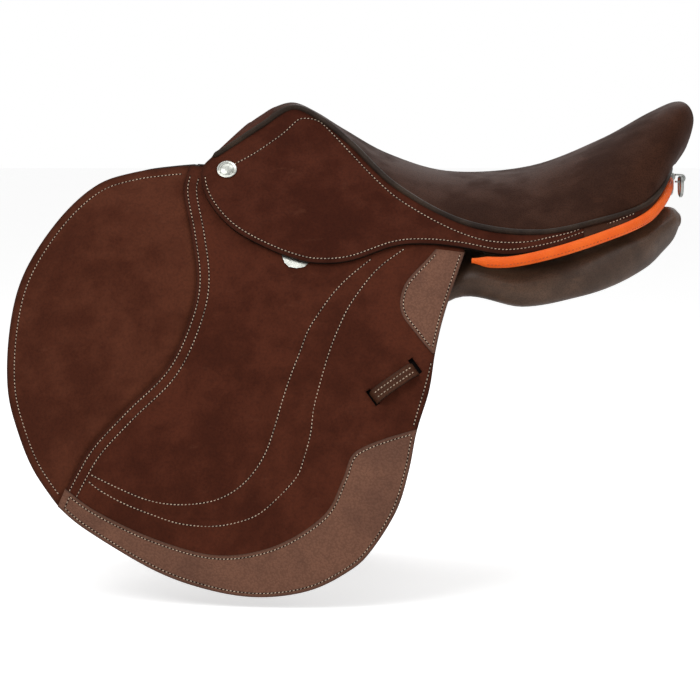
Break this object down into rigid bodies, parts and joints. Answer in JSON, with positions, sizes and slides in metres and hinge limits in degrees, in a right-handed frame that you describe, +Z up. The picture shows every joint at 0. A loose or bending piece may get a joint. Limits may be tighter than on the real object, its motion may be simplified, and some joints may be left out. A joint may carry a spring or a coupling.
{
  "type": "english saddle",
  "caption": "English jumping saddle: deep padded seat, nubuck flaps with knee pads that lift, hanging billets, recessed stirrup bars and cushioned panels.",
  "frame": {"origin": "on the middle plane, between the panels, level with the horse's back under the rear panels; the held point panel_bearing", "axes": "-X to the pommel (front), +X to the cantle (rear), -Y to the left (near) side, +Y to the right (off) side, +Z up"},
  "size_m": [0.6304, 0.4154, 0.438],
  "materials": {
    "nubuck_dark": "dark brown nubuck, mottled",
    "nubuck": "brown nubuck, mottled",
    "seat_leather": "smooth waxed dark brown leather, soft gloss",
    "panel_leather": "smooth dark brown leather, soft gloss",
    "grain_leather": "pebble-grained brown leather, matt",
    "trim": "rolled orange leather",
    "welt": "dark piping leather",
    "strap": "dark brown bridle leather",
    "webbing": "woven webbing",
    "foam": "felted wool and foam padding",
    "wood": "laminated beech",
    "steel": "pale brushed steel",
    "silver": "pale polished metal"
  },
  "bodies": {
    "frame": {"tree_frame": "wood", "head_plate": "steel", "seat_web": "webbing", "seat_foam": "foam", "seat_cover": "seat_leather", "pommel_facing": "nubuck_dark", "rolled_trim": "trim", "spring_strip_l": "steel", "spring_strip_r": "steel", "welt_l": "welt", "welt_r": "welt", "skirt_upper_l": "nubuck_dark", "skirt_upper_r": "nubuck_dark", "flap_upper_l": "nubuck", "flap_upper_r": "nubuck", "knee_pad_upper_l": "nubuck", "knee_pad_upper_r": "nubuck", "rear_patch_upper_l": "grain_leather", "rear_patch_upper_r": "grain_leather", "sweat_flap_l": "strap", "sweat_flap_r": "strap", "knee_block_l": "seat_leather", "knee_block_r": "seat_leather", "calf_block_l": "seat_leather", "calf_block_r": "seat_leather", "girth_web_l": "webbing", "girth_web_r": "webbing", "panel_l": "panel_leather", "panel_r": "panel_leather", "stirrup_bar_l": "steel", "stirrup_bar_r": "steel", "bar_plate_l": "steel", "bar_plate_r": "steel", "nail_l": "silver", "nail_r": "silver", "rear_staple_l": "steel", "rear_staple_r": "steel"},
    "skirt_l": {"skirt_lobe_l": "nubuck_dark"},
    "flap_l": {"flap_l": "nubuck", "knee_pad_l": "nubuck", "rear_patch_l": "grain_leather", "guard_l": "grain_leather", "keeper_l": "strap"},
    "billet_1_l": {"billet_1_l": "strap"},
    "billet_2_l": {"billet_2_l": "strap"},
    "billet_3_l": {"billet_3_l": "strap"},
    "bar_catch_l": {"bar_catch_l": "steel"},
    "rear_dee_l": {"rear_dee_l": "steel"},
    "skirt_r": {"skirt_lobe_r": "nubuck_dark"},
    "flap_r": {"flap_r": "nubuck", "knee_pad_r": "nubuck", "rear_patch_r": "grain_leather", "guard_r": "grain_leather", "keeper_r": "strap"},
    "billet_1_r": {"billet_1_r": "strap"},
    "billet_2_r": {"billet_2_r": "strap"},
    "billet_3_r": {"billet_3_r": "strap"},
    "bar_catch_r": {"bar_catch_r": "steel"},
    "rear_dee_r": {"rear_dee_r": "steel"}
  },
  "joints": [
    {"name": "skirt_lift_l", "type": "hinge", "parent": "frame", "child": "skirt_l", "pos_m": [-0.1, -0.10935, 0.0861], "axis": [-0.951, 0.1795, 0.2516], "range_deg": [0, 100]},
    {"name": "flap_lift_l", "type": "hinge", "parent": "frame", "child": "flap_l", "pos_m": [-0.1615, -0.12729, 0.0436], "axis": [-0.958, 0.1704, 0.2306], "range_deg": [0, 85]},
    {"name": "billet_swing_1_l", "type": "hinge", "parent": "frame", "child": "billet_1_l", "pos_m": [-0.186, -0.11935, 0.0355], "axis": [-0.138, -0.9602, 0.243], "range_deg": [-4, 4]},
    {"name": "billet_swing_2_l", "type": "hinge", "parent": "frame", "child": "billet_2_l", "pos_m": [-0.14, -0.12764, 0.02443], "axis": [-0.1162, -0.9622, 0.2465], "range_deg": [-4, 4]},
    {"name": "billet_swing_3_l", "type": "hinge", "parent": "frame", "child": "billet_3_l", "pos_m": [-0.094, -0.13557, 0.01335], "axis": [-0.095, -0.9644, 0.2468], "range_deg": [-4, 4]},
    {"name": "catch_turn_l", "type": "hinge", "parent": "frame", "child": "bar_catch_l", "pos_m": [-0.09084, -0.11196, 0.06928], "axis": [-0.0236, -0.8554, 0.5174], "range_deg": [0, 80]},
    {"name": "dee_swing_l", "type": "hinge", "parent": "frame", "child": "rear_dee_l", "pos_m": [0.23, -0.046, 0.115], "axis": [0, -1, 0], "range_deg": [0, 90]},
    {"name": "skirt_lift_r", "type": "hinge", "parent": "frame", "child": "skirt_r", "pos_m": [-0.1, 0.10935, 0.0861], "axis": [0.951, 0.1795, -0.2516], "range_deg": [0, 100]},
    {"name": "flap_lift_r", "type": "hinge", "parent": "frame", "child": "flap_r", "pos_m": [-0.1615, 0.12729, 0.0436], "axis": [0.958, 0.1704, -0.2306], "range_deg": [0, 85]},
    {"name": "billet_swing_1_r", "type": "hinge", "parent": "frame", "child": "billet_1_r", "pos_m": [-0.186, 0.11935, 0.0355], "axis": [-0.138, 0.9602, 0.243], "range_deg": [-4, 4]},
    {"name": "billet_swing_2_r", "type": "hinge", "parent": "frame", "child": "billet_2_r", "pos_m": [-0.14, 0.12764, 0.02443], "axis": [-0.1162, 0.9622, 0.2465], "range_deg": [-4, 4]},
    {"name": "billet_swing_3_r", "type": "hinge", "parent": "frame", "child": "billet_3_r", "pos_m": [-0.094, 0.13557, 0.01335], "axis": [-0.095, 0.9644, 0.2468], "range_deg": [-4, 4]},
    {"name": "catch_turn_r", "type": "hinge", "parent": "frame", "child": "bar_catch_r", "pos_m": [-0.09084, 0.11196, 0.06928], "axis": [0.0236, -0.8554, -0.5174], "range_deg": [0, 80]},
    {"name": "dee_swing_r", "type": "hinge", "parent": "frame", "child": "rear_dee_r", "pos_m": [0.23, 0.046, 0.115], "axis": [0, -1, 0], "range_deg": [0, 90]}
  ]
}
